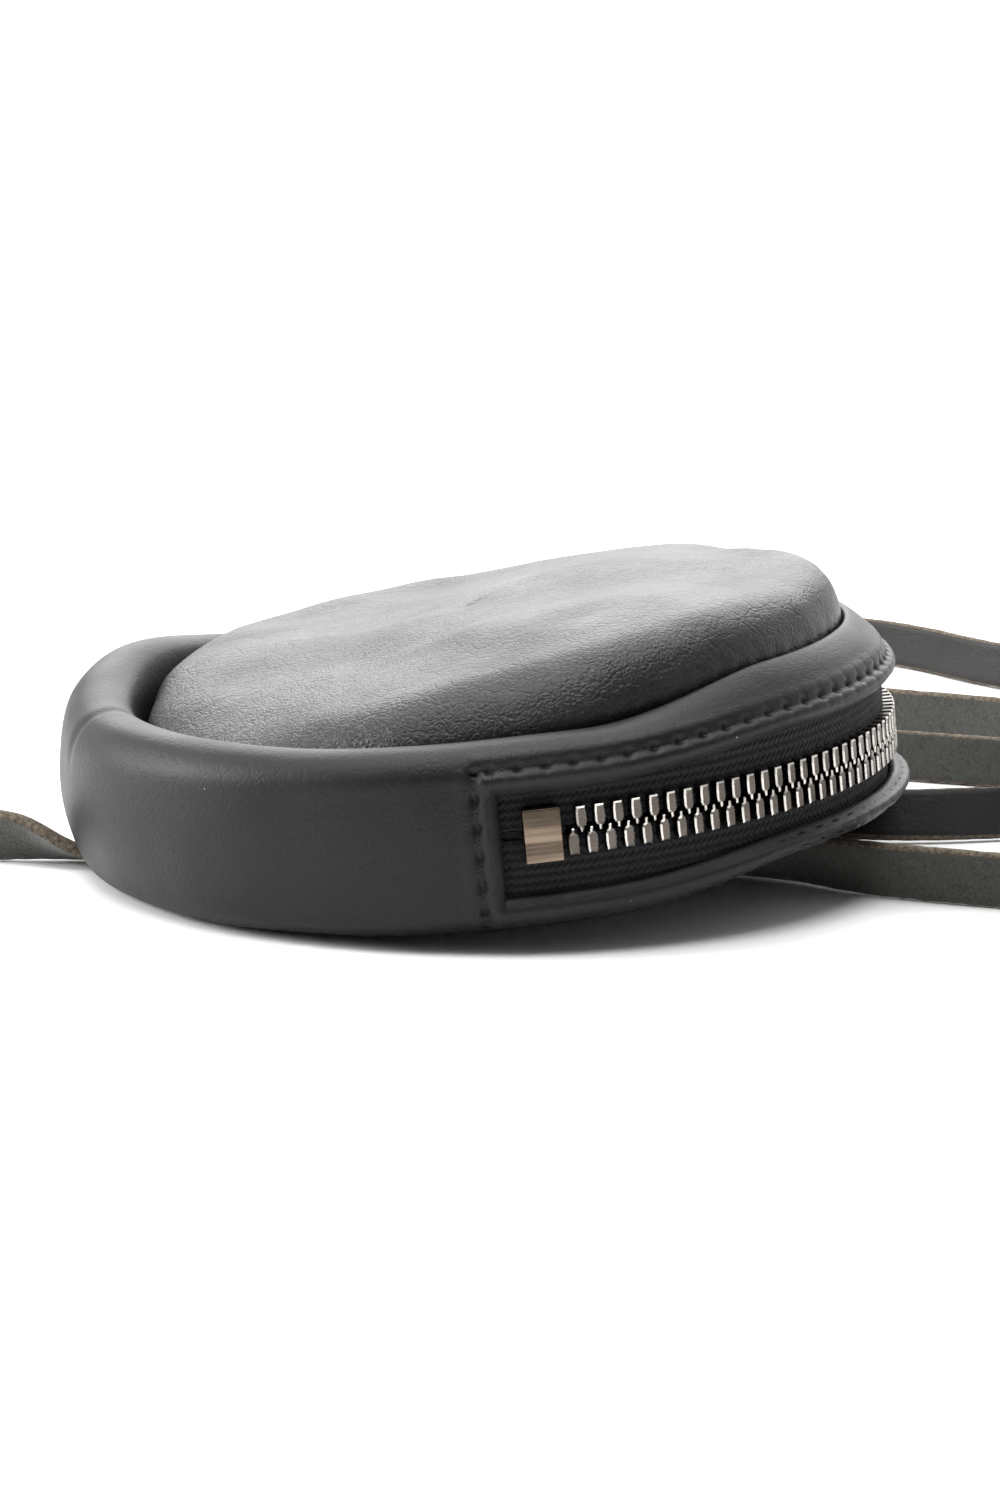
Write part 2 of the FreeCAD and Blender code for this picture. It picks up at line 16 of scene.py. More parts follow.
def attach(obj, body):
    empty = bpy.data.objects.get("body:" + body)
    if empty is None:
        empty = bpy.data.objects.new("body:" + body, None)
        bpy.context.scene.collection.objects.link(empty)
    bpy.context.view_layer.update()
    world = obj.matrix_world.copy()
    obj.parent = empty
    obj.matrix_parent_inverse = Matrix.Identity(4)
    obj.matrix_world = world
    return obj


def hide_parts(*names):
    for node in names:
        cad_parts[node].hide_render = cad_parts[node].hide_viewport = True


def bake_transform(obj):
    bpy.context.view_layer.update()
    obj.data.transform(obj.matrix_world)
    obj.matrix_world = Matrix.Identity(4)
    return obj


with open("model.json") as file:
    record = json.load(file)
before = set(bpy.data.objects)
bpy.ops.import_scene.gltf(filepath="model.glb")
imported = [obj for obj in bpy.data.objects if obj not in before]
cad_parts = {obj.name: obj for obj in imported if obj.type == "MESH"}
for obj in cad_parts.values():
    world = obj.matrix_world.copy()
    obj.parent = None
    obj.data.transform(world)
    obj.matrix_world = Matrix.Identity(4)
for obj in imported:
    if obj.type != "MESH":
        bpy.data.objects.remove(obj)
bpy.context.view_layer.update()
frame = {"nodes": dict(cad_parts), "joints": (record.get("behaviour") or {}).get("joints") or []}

MM = 0.001
FULL_TURN = 2 * math.pi
slider_joint = next(joint for joint in frame["joints"] if joint["name"] == "slider_travel")
flap_joint = next(joint for joint in frame["joints"] if joint["name"] == "flap_hinge")
PURSE_ORIGIN = np.array(slider_joint["pos_m"])
AXIS = np.array(slider_joint["axis"]) / np.linalg.norm(slider_joint["axis"])
REAR = np.array([0.0, 1.0, 0.0])
ZIP_SIDE = np.cross(REAR, AXIS)
LEAN = math.asin(-AXIS[0])
HINGE_REACH = float((np.array(flap_joint["pos_m"]) - PURSE_ORIGIN) @ ZIP_SIDE)

# Sizes shared by several pieces, in millimetres and degrees.
OUTER_RADIUS = 50.0
LEATHER = 1.4
GROOVE = 0.50
WINDOW_END = 87.6
TOOTH_PITCH = 2.475
FLAP_LAST_TOOTH, LAST_TOOTH = 26, 31
TOOTH_END = 2.65
STOP_START = 79.5
TAPE_RADIUS = 48.4
TAPE_EDGE, TAPE_TOP, TAPE_BOTTOM, TAPE_THICKNESS = 0.85, 8.4, -7.4, 0.5
STITCH_PITCH = 3.2
STITCH_LENGTH = 2.7
THREAD_WIDTH = 0.62
COLUMN_ANGLE = WINDOW_END + math.degrees(2.1 / OUTER_RADIUS)
LACE_WIDTH = 6.5
LACE_THICKNESS = 1.7


# ---------------------------------------------------------------- places


def purse(radius, angle, level):
    """Points in metres from purse coordinates in millimetres and radians."""
    radius, angle, level = np.broadcast_arrays(radius, angle, level)
    return (PURSE_ORIGIN
            + MM * (radius * np.cos(angle))[..., None] * ZIP_SIDE
            + MM * (radius * np.sin(angle))[..., None] * REAR
            + MM * level[..., None] * AXIS)


def smooth_step(value, low, high):
    share = np.clip((value - low) / (high - low), 0, 1)
    return share * share * (3 - 2 * share)


def hill(distance, width):
    """A smooth rise of height 1 that is about as wide as twice width."""
    return np.exp(-(distance / width) ** 2)


def angle_gap(angle, middle):
    """Smallest angle between two directions, in radians."""
    return (angle - middle + math.pi) % FULL_TURN - math.pi


def lumps(points, size, seed=0.0):
    """Soft random lumps of about a given size in metres, from -1 to 1."""
    flat = points.reshape(-1, 3) / size + seed
    values = [noise.noise(Vector(p)) for p in flat]
    return np.array(values).reshape(points.shape[:-1])


def curve_through(points, per_span):
    """A smooth curve through points, with the same number of steps in each span."""
    points = np.asarray(points, float)
    before = np.concatenate([2 * points[:1] - points[1:2], points[:-1]])
    after = np.concatenate([points[1:], 2 * points[-1:] - points[-2:-1]])
    slopes = (after - before) / 2
    t = (np.arange(per_span) / per_span)[:, None, None]
    start, end = points[:-1][None], points[1:][None]
    spans = ((2 * t ** 3 - 3 * t ** 2 + 1) * start + (t ** 3 - 2 * t ** 2 + t) * slopes[:-1][None]
             + (3 * t ** 2 - 2 * t ** 3) * end + (t ** 3 - t ** 2) * slopes[1:][None])
    ordered = spans.transpose(1, 0, 2).reshape(-1, points.shape[1])
    return np.concatenate([ordered, points[-1:]])


# ---------------------------------------------------------------- meshes


def new_object(name, vertices, faces, smooth=True):
    mesh = bpy.data.meshes.new(name)
    mesh.from_pydata([tuple(v) for v in vertices], [], [tuple(f) for f in faces])
    mesh.validate()
    mesh.polygons.foreach_set("use_smooth", [smooth] * len(mesh.polygons))
    made = bpy.data.objects.new(name, mesh)
    bpy.context.scene.collection.objects.link(made)
    return made


def grid_normals(points, wrap):
    """Unit normals of a grid of points; rows go down a profile and columns round the purse."""
    down = np.gradient(points, axis=0)
    if wrap:
        around = np.roll(points, -1, axis=1) - np.roll(points, 1, axis=1)
    else:
        around = np.gradient(points, axis=1)
    normals = np.cross(down, around)
    return normals / np.maximum(np.linalg.norm(normals, axis=2, keepdims=True), 1e-12)


def grid_faces(rows, columns, wrap, keep=None):
    """Quads of a grid; keep(row, column) leaves faces out where it is false."""
    last = columns if wrap else columns - 1
    faces = []
    for i in range(rows - 1):
        for j in range(last):
            if keep is None or keep(i, j):
                k = (j + 1) % columns
                faces.append((i * columns + j, (i + 1) * columns + j, (i + 1) * columns + k, i * columns + k))
    return faces


def leather_sheet(name, points, normals, faces, thickness, rounding=4):
    """A closed sheet: an outer surface, the same surface set inward, and rounded edges between."""
    flat, inward = points.reshape(-1, 3), normals.reshape(-1, 3)
    used = sorted({v for face in faces for v in face})
    index = {v: i for i, v in enumerate(used)}
    outer = flat[used]
    inner = outer - inward[used] * thickness
    count = len(used)
    outer_faces = [tuple(index[v] for v in face) for face in faces]
    edges = {}
    for face in outer_faces:
        for a, b in zip(face, face[1:] + face[:1]):
            edges[(a, b)] = edges.get((a, b), 0) + 1
    border = [(a, b) for a, b in edges if (b, a) not in edges]
    outward = {}
    for a, b in border:
        along = outer[b] - outer[a]
        side = np.cross(along, inward[used[a]])
        side /= max(np.linalg.norm(side), 1e-12)
        for v in (a, b):
            outward[v] = outward.get(v, 0) + side
    vertices = [*outer, *inner]
    ladders = {}
    for v, side in outward.items():
        side = side / max(np.linalg.norm(side), 1e-12)
        ladder = [v]
        for step in range(1, rounding):
            turn = math.pi * step / rounding
            spot = (outer[v] - inward[used[v]] * thickness / 2 * (1 - math.cos(turn))
                    + side * thickness / 2 * math.sin(turn))
            ladder.append(len(vertices))
            vertices.append(spot)
        ladders[v] = ladder + [v + count]
    all_faces = outer_faces + [tuple(v + count for v in reversed(face)) for face in outer_faces]
    for a, b in border:
        for step in range(rounding):
            all_faces.append((ladders[b][step], ladders[a][step], ladders[a][step + 1], ladders[b][step + 1]))
    return new_object(name, vertices, all_faces)


# ---------------------------------------------------------------- materials


class Nodes:
    """A material being built, with short names for its common nodes."""

    def __init__(self, name):
        self.material = bpy.data.materials.new(name)
        self.material.use_nodes = True
        self.tree = self.material.node_tree
        self.shader = self.tree.nodes["Principled BSDF"]

    def add(self, kind, settings=None, **inputs):
        node = self.tree.nodes.new(kind)
        for name, value in (settings or {}).items():
            setattr(node, name, value)
        for name, value in inputs.items():
            self.plug(node, name.replace("_", " "), value)
        return node

    def plug(self, node, name, value):
        socket = node.inputs[int(name)] if name.isdigit() else node.inputs[name]
        if isinstance(value, bpy.types.NodeSocket):
            self.tree.links.new(value, socket)
        else:
            socket.default_value = value

    def maths(self, operation, first, second=0.0, third=0.0):
        node = self.add("ShaderNodeMath", {"operation": operation})
        for i, value in enumerate((first, second, third)):
            self.plug(node, str(i), value)
        return node.outputs[0]

    def mix(self, share, first, second):
        node = self.add("ShaderNodeMix", {"data_type": "RGBA"})
        self.plug(node, "0", share)
        self.plug(node, "6", first)
        self.plug(node, "7", second)
        return node.outputs[2]

    def ramp(self, value, low, high, start=0.0, end=1.0):
        """Rescale a value so that low becomes start and high becomes end, held beyond them."""
        node = self.add("ShaderNodeMapRange")
        for i, number in enumerate((value, low, high, start, end)):
            self.plug(node, str(i), number)
        return node.outputs[0]

    def noise(self, where, scale, detail=4.0, roughness=0.55):
        node = self.add("ShaderNodeTexNoise", Scale=scale, Detail=detail, Roughness=roughness)
        self.plug(node, "Vector", where)
        return node.outputs[0]

    def cells(self, where, scale, feature="F1"):
        node = self.add("ShaderNodeTexVoronoi", {"feature": feature}, Scale=scale)
        self.plug(node, "Vector", where)
        return node.outputs["Distance"]

    def bump(self, height, distance, strength=1.0, normal=None):
        node = self.add("ShaderNodeBump", Height=height, Distance=distance, Strength=strength)
        if normal is not None:
            self.plug(node, "Normal", normal)
        return node.outputs[0]

    def place(self):
        return self.add("ShaderNodeTexCoord").outputs["Object"]

    def round_place(self):
        """Object place as distance round the purse, level and radius, in metres."""
        upright = self.add("ShaderNodeMapping", {"vector_type": "POINT"})
        self.plug(upright, "Vector", self.place())
        upright.inputs["Rotation"].default_value = (0, LEAN, 0)
        split = self.add("ShaderNodeSeparateXYZ")
        self.plug(split, "0", upright.outputs[0])
        x, y, z = split.outputs
        around = self.maths("MULTIPLY", self.maths("ARCTAN2", y, x), OUTER_RADIUS * MM)
        joined = self.add("ShaderNodeCombineXYZ")
        for i, value in enumerate((around, z)):
            self.plug(joined, str(i), value)
        return joined.outputs[0], around, z

    def finish(self, colour, roughness, normal=None, **numbers):
        self.plug(self.shader, "Base Color", colour)
        self.plug(self.shader, "Roughness", roughness)
        if normal is not None:
            self.plug(self.shader, "Normal", normal)
        for name, value in numbers.items():
            self.plug(self.shader, name.replace("_", " "), value)
        return self.material


def grey(value, warm=0.0):
    return (value * (1 + warm), value, value * (1 - warm), 1.0)


def leather_material(name, shade, grain, wrinkle, roughness, specular=0.42):
    """Matt black leather: pebble grain, fine creases, pores, soft shade changes and lint specks."""
    n = Nodes(name)
    where = n.place()
    cloud = n.noise(where, 55, 3.0)
    warped = n.add("ShaderNodeVectorMath", {"operation": "ADD"})
    n.plug(warped, "0", where)
    drift = n.add("ShaderNodeTexNoise", Scale=900.0, Detail=2.0)
    n.plug(drift, "Vector", where)
    small = n.add("ShaderNodeVectorMath", {"operation": "SCALE"})
    n.plug(small, "0", drift.outputs["Color"])
    n.plug(small, "Scale", 0.0007)
    n.plug(warped, "1", small.outputs[0])
    pebble = n.ramp(n.cells(warped.outputs[0], 1700.0, "DISTANCE_TO_EDGE"), 0.0, 0.30)
    crease = n.ramp(n.cells(warped.outputs[0], 520.0, "DISTANCE_TO_EDGE"), 0.0, 0.10)
    fine = n.noise(where, 4200, 2.0)
    patches = n.ramp(n.noise(where, 70, 2.0), 0.38, 0.62)
    pebble_height = n.ramp(patches, 0, 1, grain * 0.5, grain)
    height = n.maths("MULTIPLY_ADD", pebble, pebble_height, n.maths("MULTIPLY", fine, 0.3))
    height = n.maths("MULTIPLY_ADD", crease, wrinkle, height)
    normal = n.bump(height, 0.00006, 0.8)
    specks = n.ramp(n.cells(where, 420.0), 0.030, 0.045, 1.0, 0.0)
    rare = n.ramp(n.noise(where, 260, 1.0), 0.60, 0.66)
    specks = n.maths("MULTIPLY", specks, rare)
    dark, light = grey(shade * 0.8, 0.07), grey(shade * 1.25, 0.04)
    colour = n.mix(n.ramp(cloud, 0.35, 0.65), dark, light)
    # Darker colour in the pebble grain's crevices: painted shade.
    colour = n.mix(n.maths("MULTIPLY", n.ramp(pebble, 0.0, 0.5, 1.0, 0.0), 0.35), colour, grey(shade * 0.45))
    colour = n.mix(specks, colour, grey(0.30))
    rough = n.ramp(cloud, 0.3, 0.7, roughness - 0.05, roughness + 0.06)
    return n.finish(colour, rough, normal, Specular_IOR_Level=specular)


def flesh_material():
    """The fuzzy back of the lace: short fibres that catch the light."""
    n = Nodes("lace_flesh_side")
    where = n.place()
    fuzz = n.noise(where, 2600, 6.0, 0.75)
    tufts = n.noise(where, 700, 4.0, 0.6)
    height = n.maths("ADD", fuzz, tufts)
    colour = n.mix(n.ramp(fuzz, 0.35, 0.68), (0.024, 0.025, 0.022, 1), (0.090, 0.092, 0.080, 1))
    colour = n.mix(n.ramp(tufts, 0.4, 0.7), colour, (0.062, 0.064, 0.055, 1))
    return n.finish(colour, 0.95, n.bump(height, 0.00025, 0.9), Specular_IOR_Level=0.15, Sheen_Weight=0.35)


def raw_edge_material():
    """The cut edge of the lace: fibres in brown and grey layers."""
    n = Nodes("lace_raw_edge")
    where = n.place()
    fibre = n.noise(where, 1900, 5.0, 0.7)
    colour = n.mix(n.ramp(fibre, 0.35, 0.65), (0.045, 0.036, 0.026, 1), (0.17, 0.14, 0.105, 1))
    return n.finish(colour, 0.9, n.bump(fibre, 0.0002, 0.8), Specular_IOR_Level=0.2)


def tape_material():
    """Black zip tape: knitted ribs that run round the purse, crossed by slanting stitches."""
    n = Nodes("zip_tape_weave")
    where, around, level = n.round_place()
    slant = n.maths("ADD", around, n.maths("MULTIPLY", n.maths("PINGPONG", level, 0.00095), 1.1))
    threads = n.maths("SINE", n.maths("MULTIPLY", slant, FULL_TURN / 0.00085))
    ribs = n.maths("SINE", n.maths("MULTIPLY", level, FULL_TURN / 0.00095))
    fluff = n.noise(n.place(), 3800, 3.0, 0.7)
    height = n.maths("MULTIPLY_ADD", threads, 0.5, ribs)
    height = n.maths("MULTIPLY_ADD", fluff, 1.3, height)
    # Colour follows the knit's relief: painted highlight on raised threads and painted shade in the dips,
    # with random tone from the fluff.
    share = n.ramp(height, -1.0, 2.4)
    colour = n.mix(share, (0.0018, 0.0018, 0.0022, 1), (0.020, 0.020, 0.022, 1))
    return n.finish(colour, 0.85, n.bump(height, 0.00012, 0.9), Specular_IOR_Level=0.22, Sheen_Weight=0.06)


def metal_material(name, colour, roughness, painted_reflection_bands=0.0, scratches=0.35):
    """Dark nickel plate: cloudy tarnish and fine scratches, and, where asked, lighter bands round the purse
    that are painted reflection.
    """
    n = Nodes(name)
    where = n.place()
    cloud = n.noise(where, 260, 1.0)
    lined, around, level = n.round_place()
    stretch = n.add("ShaderNodeMapping")
    n.plug(stretch, "Vector", lined)
    stretch.inputs["Scale"].default_value = (0.04, 1.0, 1.0)
    lines = n.noise(stretch.outputs[0], 5200, 3.0, 0.6)
    dull = tuple(c * 0.72 for c in colour)
    shade = n.mix(n.ramp(cloud, 0.35, 0.68), (*dull, 1), (*colour, 1))
    # Lighter bands by level round the purse: painted reflection.
    if painted_reflection_bands:
        reflection_wave = n.maths("SINE", n.maths("MULTIPLY", level, FULL_TURN / 0.0042))
        reflection_band_mask = n.maths("MULTIPLY_ADD", reflection_wave, 0.13, n.noise(stretch.outputs[0], 900, 2.0, 0.5))
        shade = n.mix(n.ramp(reflection_band_mask, 0.4, 0.62, 0.0, painted_reflection_bands), shade, (*[c * 2.2 for c in colour], 1))
    rough = n.ramp(lines, 0.3, 0.7, roughness, roughness + 0.16)
    height = n.maths("MULTIPLY", lines, scratches)
    return n.finish(shade, rough, n.bump(height, 0.00002, 0.6), Metallic=1.0)


def thread_material():
    n = Nodes("black_thread")
    where, around, level = n.round_place()
    twist = n.maths("SINE", n.maths("MULTIPLY", n.maths("ADD", around, level), FULL_TURN / 0.0005))
    # Colour follows the twist: painted highlight and painted shade along the plies.
    colour = n.mix(n.ramp(twist, -1, 1), grey(0.003), grey(0.022))
    return n.finish(colour, 0.6, n.bump(twist, 0.00008, 0.8), Specular_IOR_Level=0.4)


FACE_LEATHER = leather_material("face_leather", 0.012, 1.2, 0.8, 0.42, 0.33)
BAND_LEATHER = leather_material("band_leather", 0.0105, 0.35, 0.25, 0.46, 0.24)
LACE_GRAIN = leather_material("lace_grain_side", 0.018, 0.5, 0.3, 0.48, 0.25)
LACE_FLESH = flesh_material()
LACE_EDGE = raw_edge_material()
TAPE = tape_material()
TEETH_METAL = metal_material("teeth_nickel", (0.115, 0.10, 0.087), 0.22, scratches=0.15)
# Brighter nickel for the teeth's chamfers: painted highlight.
CHAMFER_HIGHLIGHT_METAL = metal_material("chamfer_highlight_nickel", (0.62, 0.59, 0.55), 0.22, scratches=0.15)
# The stop's lighter horizontal bands are painted reflection.
STOP_METAL = metal_material("stop_nickel", (0.105, 0.080, 0.060), 0.26, painted_reflection_bands=1.0)
SLIDER_METAL = metal_material("slider_nickel", (0.30, 0.27, 0.24), 0.22, scratches=0.6)
THREAD = thread_material()


def dress(piece, material, body=None, replaced=()):
    """Give a piece its material and its body, and hide the nodes that it stands for."""
    if not piece.data.materials:
        piece.data.materials.append(material)
    if replaced:
        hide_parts(*replaced)
    if body:
        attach(piece, body)
    return piece


# ---------------------------------------------------------------- lace routes, as in the CAD model

LONG_LACE_ROUTE = [
    (2, 52.6), (-12, 52.6), (-28, 58.5), (-42, 71), (-49, 90), (-45, 112), (-30, 129), (-6, 139),
    (20, 146), (44, 146.5), (62, 137.5), (74.5, 116), (91, 103), (108, 95), (116, 78), (106, 62),
    (88, 61), (71.5, 73), (56, 80.5), (40, 88), (21, 98), (1, 104), (-17, 98), (-25, 83),
    (-18, 69), (0, 64.5), (20, 62.5), (38, 56.5), (54.4, 49.5), (68, 44), (80, 41),
]
SHORT_LACE_ROUTE = [
    (18, 50.5), (28, 50.5), (35.5, 45), (38, 36), (36.5, 26.5), (38.5, 17.5), (45.5, 11.5),
    (55.5, 10.8), (67, 13), (83, 15),
    (99, 9), (107, -8), (99, -26), (80, -32.5), (60, -26), (45.6, -20), (34, -11.5), (16, -8.5),
    (-5, -6.5), (-26, -5.8), (-45, -3.5), (-59, -0.8), (-72, 2),
]
# How far the strip leans up from lying flat, in degrees, at places given as numbers of route points.
LONG_LACE_LEAN = [(0, 0), (3, 60), (7, 80), (10, 84), (13, 78), (16, 82), (19, 86), (22, 80), (23.5, 120),
                  (25, 238), (27, 262), (30, 268)]
SHORT_LACE_LEAN = [(0, 0), (2, 25), (5, 48), (6.5, 62), (8, 72), (11, 84), (14, 84), (15.5, 78), (16.5, 30),
                   (17.5, 0), (20, 0), (20.7, 12), (21.3, 78), (22, 88)]


def route_line(name, route):
    """Points along the lace's NURBS line, evenly spaced, in metres, and each one's place on the route."""
    curve = bpy.data.curves.new(name, "CURVE")
    curve.dimensions = "3D"
    spline = curve.splines.new("NURBS")
    spline.points.add(len(route) - 1)
    for point, (x, y) in zip(spline.points, route):
        point.co = (x * MM, y * MM, LACE_THICKNESS / 2 * MM, 1)
    spline.order_u = 3
    spline.use_endpoint_u = True
    spline.resolution_u = 24
    holder = bpy.data.objects.new(name, curve)
    bpy.context.scene.collection.objects.link(holder)
    bpy.context.view_layer.update()
    mesh = bpy.data.meshes.new_from_object(holder.evaluated_get(bpy.context.evaluated_depsgraph_get()))
    line = np.array([v.co for v in mesh.vertices])
    bpy.data.objects.remove(holder)
    steps = np.concatenate([[0], np.cumsum(np.linalg.norm(np.diff(line, axis=0), axis=1))])
    count = int(steps[-1] / (0.9 * MM))
    even = np.linspace(0, steps[-1], count)
    places = np.interp(even, steps, np.linspace(0, len(route) - 1, len(line)))
    return np.stack([np.interp(even, steps, line[:, k]) for k in range(3)], axis=1), places, steps[-1]


FLOOR_LIFT = 2.1


def under_lace(x, y):
    """How far the lace under the purse pushes its underside up, in millimetres."""
    start, end = np.array(SHORT_LACE_ROUTE[-6], float), np.array(SHORT_LACE_ROUTE[-3], float)
    along = (end - start) / np.linalg.norm(end - start)
    off = np.abs((x - start[0]) * along[1] - (y - start[1]) * along[0])
    return FLOOR_LIFT * (1 - smooth_step(off, 3.6, 7.0))


def rest_on_floor(points):
    """Flatten whatever would hang through the floor or the lace."""
    floor = under_lace(points[..., 0] / MM, points[..., 1] / MM)
    above = points[..., 2] / MM - floor
    settled = points.copy()
    settled[..., 2] = (floor + 0.5 * (above + np.sqrt(above ** 2 + 1.2)) + 0.02) * MM
    return settled


# ---------------------------------------------------------------- side band

# Profiles of the band from the bottom of the crevice, over the rim and down to the bottom seam, as
# radius and level. STITCH_ROW, WINDOW_TOP and WINDOW_BOTTOM number some of their points.
FRONT_PROFILE = [
    (42.9, 4.6), (43.1, 7.2), (43.7, 9.3), (45.3, 10.3), (47.7, 9.7), (49.5, 7.7), (49.9, 5.0),
    (50.1, 1.4), (50.1, -2.8), (49.9, -7.4), (49.2, -9.3), (46.8, -10.8), (44.0, -10.8), (43.0, -8.8),
]
LEFT_PROFILE = [
    (40.2, 5.0), (40.5, 8.2), (41.5, 10.4), (43.8, 11.6), (46.9, 11.0), (49.1, 8.6), (50.1, 4.8),
    (50.4, 0.8), (49.9, -3.2), (48.8, -6.6), (46.9, -9.2), (44.8, -10.6), (43.2, -10.6), (42.6, -8.8),
]
ZIP_PROFILE = [
    (43.2, 6.5), (43.9, 10.6), (44.2, 12.6), (45.1, 13.5), (47.5, 11.6), (49.5, 9.0), (50.0, 6.8),
    (50.0, 2.4), (50.0, -1.2), (50.3, -5.2), (50.6, -6.3), (49.8, -7.5), (47.4, -8.1), (43.8, -8.3),
]
STITCH_ROW, WINDOW_TOP, WINDOW_BOTTOM = 5, 6, 9
ROWS_PER_SPAN = 8
LOW_STITCH_ROW = 86
BAND_COLUMNS = 1040


def band_grid():
    """Angles and the points of the band's outside, with stitch grooves and soft dents."""
    angles = np.linspace(-math.pi, math.pi, BAND_COLUMNS, endpoint=False)
    outlines = (FRONT_PROFILE, LEFT_PROFILE, ZIP_PROFILE)
    front, left, zipped = (curve_through(outline, ROWS_PER_SPAN) for outline in outlines)
    to_left = smooth_step(np.abs(angles), math.radians(100), math.radians(165))
    to_zip = 1 - smooth_step(np.abs(angles), math.radians(42), math.radians(74))
    shares = np.stack([1 - to_left - to_zip, to_left, to_zip])
    profile = np.einsum("ka,krc->rac", shares, np.stack([front, left, zipped]))
    rear_left = hill(angle_gap(angles, math.radians(158)), 0.42)
    profile[..., 1] += 3.0 * rear_left * smooth_step(profile[..., 1], 2.0, 10.0)
    points = purse(profile[..., 0], angles[None, :], profile[..., 1])
    normals = grid_normals(points, True)
    wander = lumps(points, 0.017) * 0.35 + lumps(points, 0.007, 3.0) * 0.10
    wall = smooth_step(profile[..., 0], 44.5, 47.5)
    shift = wander * (0.35 + 0.65 * wall)
    shift += stitch_dips(points, angles)
    shift += window_roll(profile[..., 1], angles)
    crease = hill(angle_gap(angles, math.radians(-163)) * OUTER_RADIUS, 1.3)[None, :]
    shift -= 0.35 * crease * smooth_step(profile[..., 1], 4.0, 11.0)
    return angles, rest_on_floor(points + normals * (shift * MM)[..., None])


def window_roll(level, angles):
    """How the folded leather swells beside the window and turns in at its edge."""
    sideways = (np.abs(angles) - math.radians(WINDOW_END))[None, :] * OUTER_RADIUS
    top_edge, bottom_edge = level[WINDOW_TOP * ROWS_PER_SPAN], level[WINDOW_BOTTOM * ROWS_PER_SPAN]
    upward = np.maximum(level - top_edge, bottom_edge - level)
    away = np.hypot(np.maximum(sideways, 0), np.maximum(upward, 0))
    swell = 0.30 * np.sin(math.pi * np.clip(away / 2.4, 0, 1))
    return swell - 0.50 * (1 - smooth_step(away, -0.2, 0.9))


def stitch_dips(points, angles):
    """Height of the leather round the topstitching: a groove, deeper at each needle hole."""
    lengths = np.linalg.norm(np.diff(points, axis=0), axis=2)
    along = np.concatenate([np.zeros((1, len(angles))), np.cumsum(lengths, axis=0)]) / MM
    row = along - along[STITCH_ROW * ROWS_PER_SPAN][None, :]
    low_row = along - along[LOW_STITCH_ROW][None, :]
    inside_columns = np.abs(angles)[None, :] < math.radians(COLUMN_ANGLE)
    holes = np.cos(angles * OUTER_RADIUS * math.pi / STITCH_PITCH)[None, :] ** 8
    dips = np.zeros_like(row)
    for offset in (row, low_row):
        dips += np.where(inside_columns, groove_depth(offset, holes), 0)
    column = (np.abs(angles) - math.radians(COLUMN_ANGLE))[None, :] * OUTER_RADIUS
    between = (row > -0.3) & (low_row < 0.3)
    holes = np.cos(row * math.pi / STITCH_PITCH) ** 8
    return dips + np.where(between, groove_depth(column, holes), 0)


def groove_depth(offset, holes):
    """Sunken line of stitches: offset is the distance from it, holes is 1 at each needle hole."""
    line = -GROOVE * hill(offset, 0.5) * (0.6 + 1.2 * holes)
    return line + 0.14 * hill(np.abs(offset) - 1.3, 0.7) * (1 - 0.3 * holes)


def make_band():
    """The band in two pieces: the strip above the zip and the rest."""
    angles, points = band_grid()
    normals = grid_normals(points, True)
    rows = len(points)
    top_row, bottom_row = WINDOW_TOP * ROWS_PER_SPAN, WINDOW_BOTTOM * ROWS_PER_SPAN
    half_step = FULL_TURN / BAND_COLUMNS / 2
    zipped = np.abs(angle_gap(angles + half_step, 0)) < math.radians(WINDOW_END)

    def in_strip(i, j):
        return zipped[j] and i < top_row

    def in_rest(i, j):
        return not zipped[j] or i >= bottom_row

    strip = leather_sheet("band_upper_strip", points, normals,
                          grid_faces(rows, BAND_COLUMNS, True, in_strip), LEATHER * MM)
    rest = leather_sheet("band", points, normals, grid_faces(rows, BAND_COLUMNS, True, in_rest), LEATHER * MM)
    dress(strip, BAND_LEATHER, None, ("gusset_flap", "gusset_fold"))
    dress(rest, BAND_LEATHER, "pouch", ("gusset_band",))
    bend_with_flap(strip)
    return angles, points, normals


def bend_with_flap(piece):
    """Bake a piece's placement into its mesh."""
    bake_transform(piece)


# ---------------------------------------------------------------- round faces

PANEL_STEPS = 11
PANEL_COLUMNS = 720
